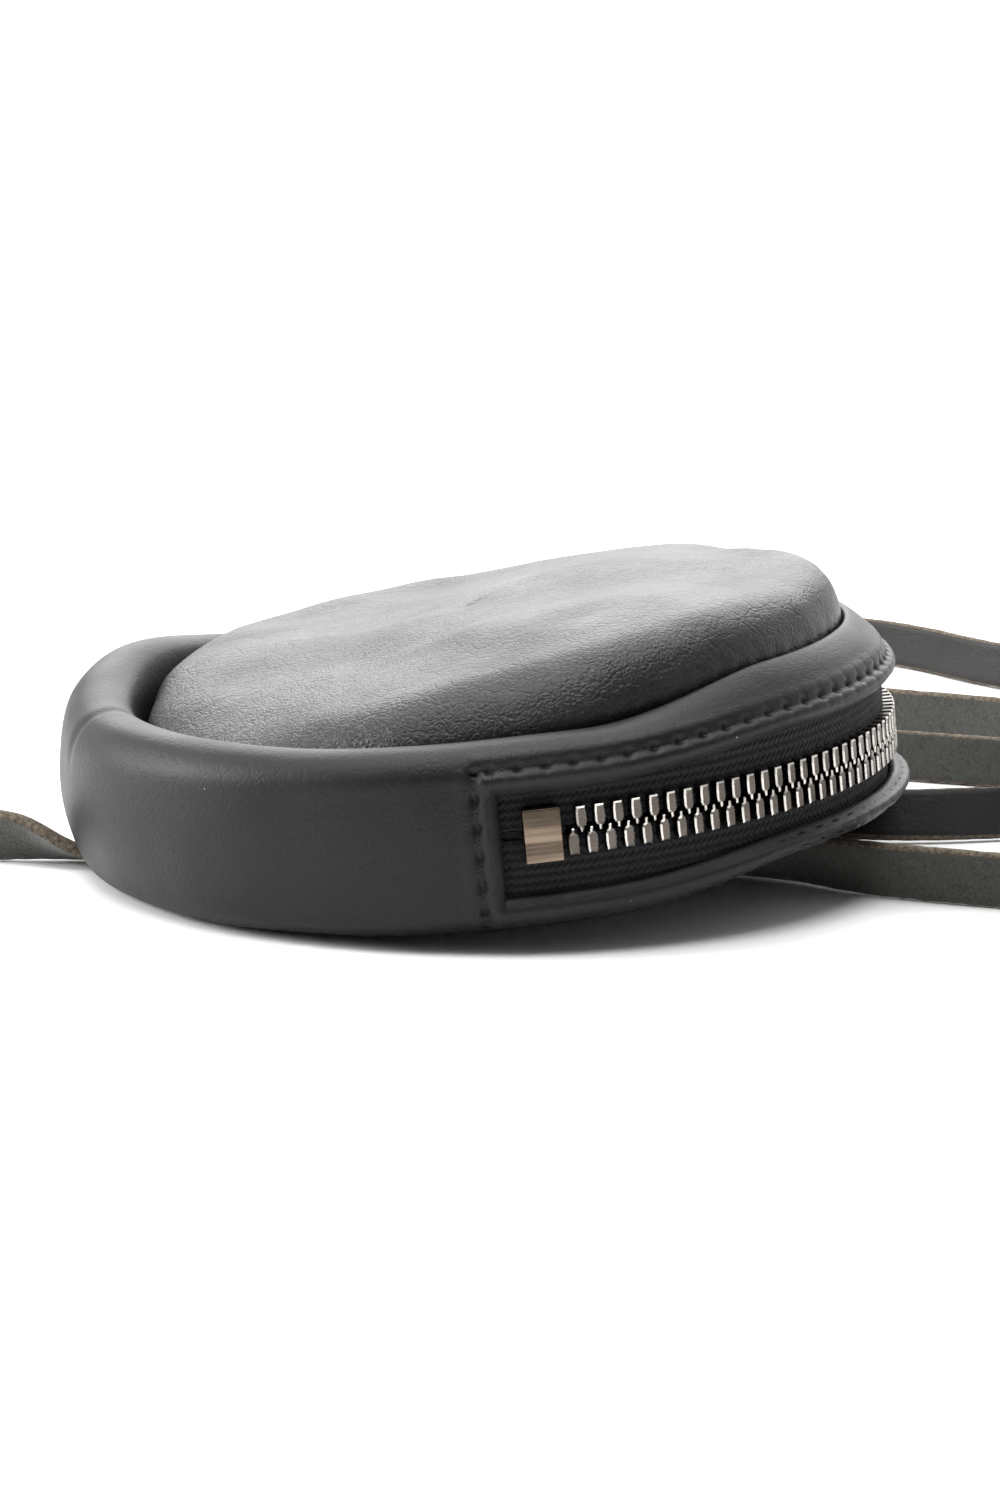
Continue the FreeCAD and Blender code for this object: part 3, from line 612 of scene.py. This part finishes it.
# Sections through the top face from its middle to its seam, as radius and level, by direction in degrees.
PANEL_SECTIONS = {
    -180: [(0, 18.0), (10, 16.9), (20, 15.4), (28, 14.3), (33, 13.2), (36.3, 11.7), (38.2, 9.6), (39.0, 7.6),
           (39.3, 6.4), (39.2, 5.4)],
    -140: [(0, 18.2), (10, 16.9), (20, 14.6), (28, 12.4), (33, 11.0), (37, 9.8), (39.3, 8.9), (40.8, 8.0),
           (41.4, 7.0), (41.4, 6.0)],
    -116: [(0, 18.2), (10, 17.5), (20, 15.5), (28, 14.2), (33, 13.3), (37, 12.2), (40, 10.8), (42, 9.2),
           (42.7, 8.0), (42.6, 6.6)],
    -90: [(0, 18.2), (10, 18.2), (20, 17.6), (28, 17.0), (33, 16.5), (37, 15.6), (40, 13.8), (42, 11.6),
          (43, 9.6), (42.9, 7.2)],
    -55: [(0, 18.2), (10, 19.2), (20, 19.7), (28, 19.9), (34, 19.8), (38.8, 19.2), (41.8, 17.4), (43.4, 14.8),
          (43.8, 12.4), (43.3, 9.4)],
    0: [(0, 18.2), (10, 19.9), (20, 20.8), (28, 20.7), (34, 20.1), (39.6, 20.0), (42.7, 18.5), (44.2, 15.4),
        (44.3, 12.6), (43.4, 9.8)],
    45: [(0, 18.2), (10, 19.9), (20, 20.7), (28, 20.5), (34, 19.9), (38.9, 19.0), (41.9, 17.0), (43.5, 14.0),
         (43.8, 11.6), (43.2, 9.0)],
    90: [(0, 18.0), (10, 17.9), (20, 17.2), (28, 16.7), (34, 16.8), (38, 15.6), (41, 13.4), (42.6, 10.8),
         (43, 9.0), (42.8, 7.0)],
    135: [(0, 18.0), (10, 16.9), (20, 15.4), (28, 14.8), (34, 14.6), (37.5, 14.4), (39.6, 12.8), (40.9, 10.6),
          (41.2, 8.2), (41.0, 6.2)],
}
PANEL_BLEND = 36
# Broad swellings and hollows of the top face: middle, half widths and height in millimetres.
PANEL_FEATURES = [(-11, -8, 8, 15, -0.9), (4, -20, 14, 7, 0.6), (-25, -4, 10, 9, -0.6), (-31, 14, 8, 10, 0.5),
                  (31, 6, 5, 16, -0.5), (-6, 14, 6, 9, -0.6)]
PANEL_PUCKERS = 84
BOTTOM_RINGS = 55
BOTTOM_RADIUS, BOTTOM_LEVEL, BOTTOM_BULGE = 43.0, -9.2, 5.6


def panel_sections(angles):
    """The top face's sections, blended smoothly from one direction to the next."""
    keys = sorted(PANEL_SECTIONS)
    curves = np.array([curve_through(PANEL_SECTIONS[key], PANEL_STEPS) for key in keys])
    grid = np.empty((curves.shape[1], len(angles), 2))
    window = np.hanning(2 * PANEL_BLEND + 1)
    for row in range(curves.shape[1]):
        for part in range(2):
            plain = np.interp(np.degrees(angles), keys, curves[:, row, part], period=360)
            wrapped = np.pad(plain, PANEL_BLEND, mode="wrap")
            grid[row, :, part] = np.convolve(wrapped, window / window.sum(), mode="valid")
    return grid[..., 0], grid[..., 1]


def fan_faces(rows, columns):
    """Faces of a round grid whose first row is one point in the middle."""
    faces = []
    for j in range(columns):
        k = (j + 1) % columns
        faces.append((0, columns + j, columns + k))
    return faces + [face for face in grid_faces(rows, columns, True) if face[0] >= columns]


def make_top_panel():
    """The puffed top face: soft and sunken at the front left, tall and tight towards the zip."""
    angles = np.linspace(-math.pi, math.pi, PANEL_COLUMNS, endpoint=False)
    radius, level = panel_sections(angles)
    x, y = radius * np.cos(angles), radius * np.sin(angles)
    share = radius / radius[-1]
    rim = smooth_step(share, 1.0, 0.75)
    for cx, cy, wide, deep, height in PANEL_FEATURES:
        level = level + height * hill(x - cx, wide) * hill(y - cy, deep) * rim
    points = purse(radius, angles[None, :], level)
    normals = grid_normals(points, True)
    normals[0] = AXIS
    shift = lumps(points, 0.013, 7.0) * 0.45 + lumps(points, 0.006, 1.0) * 0.16
    near_seam = smooth_step(np.arange(len(radius))[:, None] / len(radius), 0.74, 0.88)
    zip_front = hill(angle_gap(angles, math.radians(-38)), 0.55)[None, :]
    pucker = np.cos(angles * PANEL_PUCKERS + 1.3 * np.sin(angles * 7))[None, :]
    shift += 0.13 * pucker * near_seam * zip_front
    soft_front = hill(angle_gap(angles, math.radians(-138)), 0.6)[None, :]
    creases = np.cos(angles * 83 + 3.0 * np.sin(angles * 13 + share * 6) + 5 * lumps(points, 0.009, 4.0))
    shift += 0.035 * creases * smooth_step(share, 0.5, 0.9) * soft_front * (1 - near_seam)
    shift *= smooth_step(radius, 0.0, 3.0)
    points = points + normals * (shift * MM)[..., None]
    normals = grid_normals(points, True)
    normals[0] = AXIS
    face = leather_sheet("top_face", points, normals, fan_faces(*radius.shape), LEATHER * MM)
    dress(face, FACE_LEATHER, None, ("top_panel", "top_panel_flap", "top_panel_fold"))
    bend_with_flap(face)


def make_bottom_panel():
    """The face that the purse lies on, flattened by the floor and pressed in over the lace."""
    angles = np.linspace(-math.pi, math.pi, PANEL_COLUMNS // 2, endpoint=False)
    swing = np.linspace(0, math.pi / 2, BOTTOM_RINGS)[:, None]
    radius = BOTTOM_RADIUS * np.sin(swing) + 0 * angles[None, :]
    towards_zip = np.cos(angles[None, :]) * np.sin(swing)
    bulge = BOTTOM_BULGE - 3.0 * np.maximum(towards_zip, 0)
    level = BOTTOM_LEVEL - bulge * np.cos(swing) ** 0.9 + 0.9 * towards_zip
    points = purse(radius, angles[None, :], level)
    points = points + AXIS * (lumps(points, 0.012, 5.0) * 0.3 * MM)[..., None] * np.sin(swing)[..., None]
    points = rest_on_floor(points)
    seam = purse(np.array([[42.8]]), angles[None, :], np.array([[-7.6]]))
    points = np.concatenate([points, np.maximum(seam, [-1, -1, 0.0024])])[:, ::-1]
    normals = grid_normals(points, True)
    normals[0] = -AXIS
    face = leather_sheet("bottom_face", points, normals, fan_faces(*points.shape[:2]), LEATHER * MM)
    dress(face, FACE_LEATHER, "pouch", ("bottom_panel",))


# ---------------------------------------------------------------- zip


def make_tapes():
    """Two strips of tape with a thick corded edge next to the teeth."""
    angles = np.radians(np.linspace(-89, 89, 520))
    rows = np.linspace(0, 1, 16)[:, None]
    for name, edge, end, replaced in (("zip_tape_lower", -TAPE_EDGE, TAPE_BOTTOM, ("lower_zip_tape",)),
                                      ("zip_tape_upper", TAPE_TOP, TAPE_EDGE,
                                       ("upper_zip_tape", "upper_tape_ends"))):
        level = edge + (end - edge) * rows
        near_teeth = hill(np.abs(level) - 0.9, 0.5)
        radius = TAPE_RADIUS + 0.12 * near_teeth + 0 * angles[None, :]
        points = purse(radius, angles[None, :], level)
        normals = grid_normals(points, False)
        points = points + normals * (lumps(points, 0.004, 2.0) * 0.10 * MM)[..., None]
        tape = leather_sheet(name, points, normals, grid_faces(len(rows), len(angles), False),
                             TAPE_THICKNESS * MM)
        upper = name.endswith("upper")
        dress(tape, TAPE, None if upper else "pouch", replaced)
        if upper:
            bend_with_flap(tape)


def tooth_mesh():
    """One tooth and which of its faces carry painted highlight: x outward, y round the purse, z off the
    chain's middle.
    """
    outline = [(-0.50, TOOTH_END), (-0.58, 1.9), (-0.58, 0.78), (-0.45, 0.44), (-0.20, 0.28), (-0.14, -0.25),
               (0.14, -0.25), (0.20, 0.28), (0.45, 0.44), (0.58, 0.78), (0.58, 1.9), (0.50, TOOTH_END)]
    shape = bmesh.new()
    back = [shape.verts.new((47.0, y, z)) for y, z in outline]
    base = shape.faces.new(back)
    pushed = bmesh.ops.extrude_face_region(shape, geom=[base])
    for item in pushed["geom"]:
        if isinstance(item, bmesh.types.BMVert):
            item.co.x = 49.8
    bmesh.ops.recalc_face_normals(shape, faces=shape.faces)
    front_edges = [e for e in shape.edges if all(v.co.x > 49 for v in e.verts)]
    bmesh.ops.bevel(shape, geom=front_edges, offset=0.18, segments=1, affect="EDGES", profile=0.5)
    vertices = np.array([v.co for v in shape.verts])
    shape.verts.index_update()
    faces = [[v.index for v in f.verts] for f in shape.faces]
    shape.normal_update()
    # Chamfer faces, which take the brighter metal as painted highlight.
    highlight_faces = [0.2 < f.normal.x < 0.98 for f in shape.faces]
    shape.free()
    return vertices, faces, highlight_faces


def make_teeth(name, numbers, shift, side, body, node):
    """A row of teeth whose bright chamfers are painted highlight; side is 1 above the chain's middle and -1
    below it.
    """
    vertices, faces, highlight_faces = tooth_mesh()
    all_vertices, all_faces = [], []
    for number in numbers:
        angle = math.radians((number + shift) * TOOTH_PITCH)
        radius = np.hypot(vertices[:, 0], vertices[:, 1])
        turn = angle + np.arctan2(vertices[:, 1] * side, vertices[:, 0])
        start = len(all_vertices)
        all_vertices.extend(purse(radius, turn, vertices[:, 2] * side))
        all_faces.extend([[start + v for v in face] for face in faces])
    row = new_object(name, all_vertices, all_faces, smooth=False)
    row.data.materials.append(TEETH_METAL)
    # The second slot paints highlight on the chamfers.
    row.data.materials.append(CHAMFER_HIGHLIGHT_METAL)
    row.data.polygons.foreach_set("material_index", [int(w) for w in highlight_faces] * len(numbers))
    dress(row, TEETH_METAL, body, (node,))


def plate(name, inner, outer, low, high, start, end, material, body, node, steps=12):
    """A curved metal block with softened edges, between two radii, levels and angles."""
    angles = np.radians(np.linspace(start, end, steps))
    shape = bmesh.new()
    corners = [(inner, low), (outer, low), (outer, high), (inner, high)]
    rings = [[shape.verts.new(purse(r, a, w) / MM) for r, w in corners] for a in angles]
    for first, second in zip(rings, rings[1:]):
        for k in range(4):
            m = (k + 1) % 4
            shape.faces.new((first[k], first[m], second[m], second[k]))
    shape.faces.new(rings[0][::-1])
    shape.faces.new(rings[-1])
    bmesh.ops.recalc_face_normals(shape, faces=shape.faces)
    sharp = [e for e in shape.edges if e.calc_face_angle(0) > 0.6]
    bmesh.ops.bevel(shape, geom=sharp, offset=0.18, segments=3, affect="EDGES", profile=0.6)
    for vertex in shape.verts:
        vertex.co *= MM
    mesh = bpy.data.meshes.new(name)
    for face in shape.faces:
        face.smooth = True
    shape.to_mesh(mesh)
    shape.free()
    made = bpy.data.objects.new(name, mesh)
    bpy.context.scene.collection.objects.link(made)
    return dress(made, material, body, (node,))


def make_zip():
    make_tapes()
    past_flap = FLAP_LAST_TOOTH + 1
    make_teeth("zip_teeth_upper", range(-FLAP_LAST_TOOTH, past_flap), 0, 1, "flap", "upper_teeth")
    fixed_teeth = [*range(-LAST_TOOTH, -FLAP_LAST_TOOTH), *range(past_flap, LAST_TOOTH + 1)]
    make_teeth("zip_teeth_upper_ends", fixed_teeth, 0, 1, "pouch", "upper_teeth_ends")
    make_teeth("zip_teeth_lower", range(-LAST_TOOTH - 1, LAST_TOOTH + 1), 0.5, -1, "pouch", "lower_teeth")
    plate("zip_bottom_stop", 46.7, 50.25, -3.0, 3.0, -84.3, -STOP_START, STOP_METAL, "pouch",
          "bottom_stop")
    for name, low, high, node in (("zip_top_stop_upper", 0.5, TOOTH_END, "top_stop_upper"),
                                  ("zip_top_stop_lower", -TOOTH_END, -0.5, "top_stop_lower")):
        plate(name, 46.9, 49.9, low, high, STOP_START, 81.2, STOP_METAL, "pouch", node, 4)


# ---------------------------------------------------------------- threads


def capsule(start, end, normal, thick, rings=7, sides=8):
    """A short thread from start to end, its middle lifted along normal and its ends sunk in."""
    along = end - start
    direction = along / np.linalg.norm(along)
    across = np.cross(direction, normal)
    vertices, faces = [], []
    for i in range(rings):
        share = i / (rings - 1)
        lift = math.sin(math.pi * share)
        middle = start + along * share + normal * (0.50 * lift - 0.24) * MM
        radius = thick / 2 * (0.45 + 0.55 * math.sqrt(max(lift, 0)))
        for k in range(sides):
            turn = FULL_TURN * k / sides
            vertices.append(middle + radius * MM * (math.cos(turn) * across + math.sin(turn) * normal))
    for i in range(rings - 1):
        for k in range(sides):
            m = (k + 1) % sides
            faces.append((i * sides + k, i * sides + m, (i + 1) * sides + m, (i + 1) * sides + k))
    faces.append(tuple(reversed(range(sides))))
    faces.append(tuple((rings - 1) * sides + k for k in range(sides)))
    return vertices, faces


def make_stitches(angles, points, normals):
    """Topstitching round the window, laid in the grooves of the band."""
    step = FULL_TURN / BAND_COLUMNS
    pitch = STITCH_PITCH / OUTER_RADIUS
    half = math.radians(COLUMN_ANGLE)

    def sample(row, angle):
        column = (angle + math.pi) / step
        low = int(math.floor(column)) % BAND_COLUMNS
        share = column - math.floor(column)
        high = (low + 1) % BAND_COLUMNS
        spot = points[row, low] * (1 - share) + points[row, high] * share
        return spot, normals[row, low]

    moving, fixed = ([], []), ([], [])

    def put(group, start, end, normal):
        vertices, faces = capsule(start, end, normal, THREAD_WIDTH)
        offset = len(group[0])
        group[0].extend(vertices)
        group[1].extend([[offset + v for v in face] for face in faces])

    count = int(half / pitch)
    turn = STITCH_LENGTH / OUTER_RADIUS / 2
    for row, is_upper in ((STITCH_ROW * ROWS_PER_SPAN, True), (LOW_STITCH_ROW, False)):
        for number in range(-count, count):
            angle = (number + 0.5) * pitch
            start, normal = sample(row, angle - turn)
            end, _ = sample(row, angle + turn)
            lifts = is_upper and OUTER_RADIUS * math.cos(angle) * MM > HINGE_REACH
            put(moving if lifts else fixed, start, end, normal)
    for side in (-1, 1):
        column = int(round((side * half + math.pi) / step)) % BAND_COLUMNS
        path = points[STITCH_ROW * ROWS_PER_SPAN:LOW_STITCH_ROW + 1, column]
        steps = np.concatenate([[0], np.cumsum(np.linalg.norm(np.diff(path, axis=0), axis=1))]) / MM
        for number in range(int(steps[-1] / STITCH_PITCH)):
            middle = (number + 0.5) * steps[-1] / int(steps[-1] / STITCH_PITCH)
            ends = [np.array([np.interp(middle + s * STITCH_LENGTH / 2, steps, path[:, k]) for k in range(3)])
                    for s in (-1, 1)]
            put(fixed, ends[0], ends[1], normals[STITCH_ROW * ROWS_PER_SPAN + 12, column])
    flap_row = new_object("topstitch_flap", *moving)
    rest = new_object("topstitch_window", *fixed)
    dress(flap_row, THREAD, "flap", ("flap_stitches",))
    dress(rest, THREAD, "pouch", ("window_stitches",))


# ---------------------------------------------------------------- laces


def make_lace(name, route, leans, node, body="pouch"):
    """A flat leather strip that lies flat or stands on its edge, always touching the floor."""
    line, places, length = route_line(name + "_line", route)
    lean = np.radians(np.interp(places, [p for p, _ in leans], [d for _, d in leans]))
    window = np.hanning(17)
    padded = np.pad(lean, 8, mode="edge")
    lean = np.convolve(padded, window / window.sum(), mode="valid")
    half_width, half_thick = LACE_WIDTH / 2 * MM, LACE_THICKNESS / 2 * MM
    heading = np.gradient(line, axis=0)
    heading /= np.linalg.norm(heading, axis=1, keepdims=True)
    side = np.stack([-heading[:, 1], heading[:, 0], 0 * heading[:, 0]], axis=1)
    up = np.array([0.0, 0.0, 1.0])
    wide = np.cos(lean)[:, None] * side + np.sin(lean)[:, None] * up
    thin = -np.sin(lean)[:, None] * side + np.cos(lean)[:, None] * up
    line[:, 2] = np.abs(np.sin(lean)) * half_width + np.abs(np.cos(lean)) * half_thick + 0.02 * MM
    section = lace_section(half_width, half_thick)
    count = len(section)
    vertices = []
    rng = np.random.default_rng(len(route))
    for spot, across, through in zip(line, wide, thin):
        fray = rng.normal(0, 0.05 * MM, count)
        for (a, t), loose in zip(section, fray):
            edge = abs(a) > half_width * 0.9
            vertices.append(spot + across * (a + (math.copysign(abs(loose), -a) if edge else 0))
                            + through * (t + loose * 0.25))
    vertices = np.array(vertices)
    vertices[:, 2] = np.maximum(vertices[:, 2], 0.01 * MM)
    faces, materials = [], []
    for i in range(len(line) - 1):
        for k in range(count):
            m = (k + 1) % count
            faces.append((i * count + k, i * count + m, (i + 1) * count + m, (i + 1) * count + k))
            middle = (np.array(section[k]) + section[m]) / 2
            if abs(middle[0]) > half_width * 0.93:
                materials.append(2)
            else:
                materials.append(0 if middle[1] > 0 else 1)
    faces.append(tuple(reversed(range(count))))
    faces.append(tuple((len(line) - 1) * count + k for k in range(count)))
    materials += [2, 2]
    strip = new_object(name, vertices, faces)
    for material in (LACE_GRAIN, LACE_FLESH, LACE_EDGE):
        strip.data.materials.append(material)
    strip.data.polygons.foreach_set("material_index", materials)
    dress(strip, LACE_GRAIN, body, (node,))
    return strip


def lace_section(half_width, half_thick):
    """Outline of the strip's section: flat faces and softly rounded cut edges."""
    across = np.linspace(-1, 1, 9) * (half_width - 0.35 * MM)
    edge = [(half_width - 0.10 * MM, half_thick * 0.75), (half_width, half_thick * 0.25),
            (half_width, -half_thick * 0.25), (half_width - 0.10 * MM, -half_thick * 0.75)]
    top = [(a, half_thick) for a in across]
    bottom = [(a, -half_thick) for a in across[::-1]]
    return top + edge + bottom + [(-a, -t) for a, t in edge]


# ---------------------------------------------------------------- room


CAMERA_PLACE = (2.3 * MM, -539.9 * MM, 118.5 * MM)
CAMERA_DOWN = 11.0
LENS = 109.97
FLOOR_SIDE, FLOOR_REAR = 2.5, 1.3
# Name, place, aim, width in metres and power in watts.
LIGHTS = [
    ("back_light", (0.05, 1.0, 0.75), (0, 0, 0.02), 1.1, 16.0),
    ("top_light", (-0.1, -0.1, 1.1), (0, 0, 0), 0.9, 14.0),
    ("left_light", (-1.0, 0.05, 0.45), (0, 0, 0.02), 0.6, 14.0),
]


def make_room():
    """Pale floor, surroundings that brighten to the rear, and soft lights behind, above and at the left."""
    scene = bpy.context.scene
    corners = [(-FLOOR_SIDE, -FLOOR_SIDE, 0), (FLOOR_SIDE, -FLOOR_SIDE, 0),
               (FLOOR_SIDE, FLOOR_REAR, 0), (-FLOOR_SIDE, FLOOR_REAR, 0)]
    floor = new_object("floor", corners, [(0, 1, 2, 3)])
    n = Nodes("floor_white")
    n.finish(n.mix(n.noise(n.place(), 3.0), grey(0.88), grey(0.92)), 0.85, None, Specular_IOR_Level=0.1)
    floor.data.materials.append(n.material)
    world = bpy.data.worlds.new("studio")
    scene.world = world
    world.use_nodes = True
    tree = world.node_tree
    background = tree.nodes["Background"]
    split = tree.nodes.new("ShaderNodeSeparateXYZ")
    tree.links.new(tree.nodes.new("ShaderNodeTexCoord").outputs["Generated"], split.inputs[0])
    ramp = tree.nodes.new("ShaderNodeMapRange")
    tree.links.new(split.outputs["Y"], ramp.inputs[0])
    for index, number in ((1, -0.35), (2, 0.5), (3, 0.17), (4, 1.3)):
        ramp.inputs[index].default_value = number
    tree.links.new(ramp.outputs[0], background.inputs["Strength"])
    background.inputs["Color"].default_value = (1, 1, 1, 1)
    for name, place, aim, wide, power in LIGHTS:
        lamp = bpy.data.lights.new(name, "AREA")
        lamp.shape = "SQUARE"
        lamp.size = wide
        lamp.energy = power
        holder = bpy.data.objects.new(name, lamp)
        holder.location = place
        holder.rotation_euler = (Vector(aim) - Vector(place)).to_track_quat("-Z", "Y").to_euler()
        scene.collection.objects.link(holder)
    camera = bpy.data.cameras.new("camera")
    camera.lens = LENS
    camera.sensor_width = 36
    holder = bpy.data.objects.new("camera", camera)
    holder.location = CAMERA_PLACE
    holder.rotation_euler = (math.radians(90 - CAMERA_DOWN), 0, 0)
    scene.collection.objects.link(holder)
    scene.camera = holder
    scene.view_settings.view_transform = "Standard"


def dress_cad_nodes():
    """Materials for the CAD nodes that are shown as they are."""
    plain = {"slider_front": SLIDER_METAL, "slider_back": SLIDER_METAL, "slider_crown": SLIDER_METAL,
             "pull_tab": SLIDER_METAL, "lace_tab": LACE_GRAIN, "top_seam_thread": THREAD,
             "top_seam_thread_flap": THREAD, "bottom_seam_thread": THREAD}
    for name, material in plain.items():
        node = frame["nodes"][name]
        node.data.materials.clear()
        node.data.materials.append(material)


make_room()
band = make_band()
make_stitches(*band)
make_top_panel()
make_bottom_panel()
make_zip()
make_lace("lace_long", LONG_LACE_ROUTE, LONG_LACE_LEAN, "long_lace")
make_lace("lace_short", SHORT_LACE_ROUTE, SHORT_LACE_LEAN, "short_lace")
dress_cad_nodes()
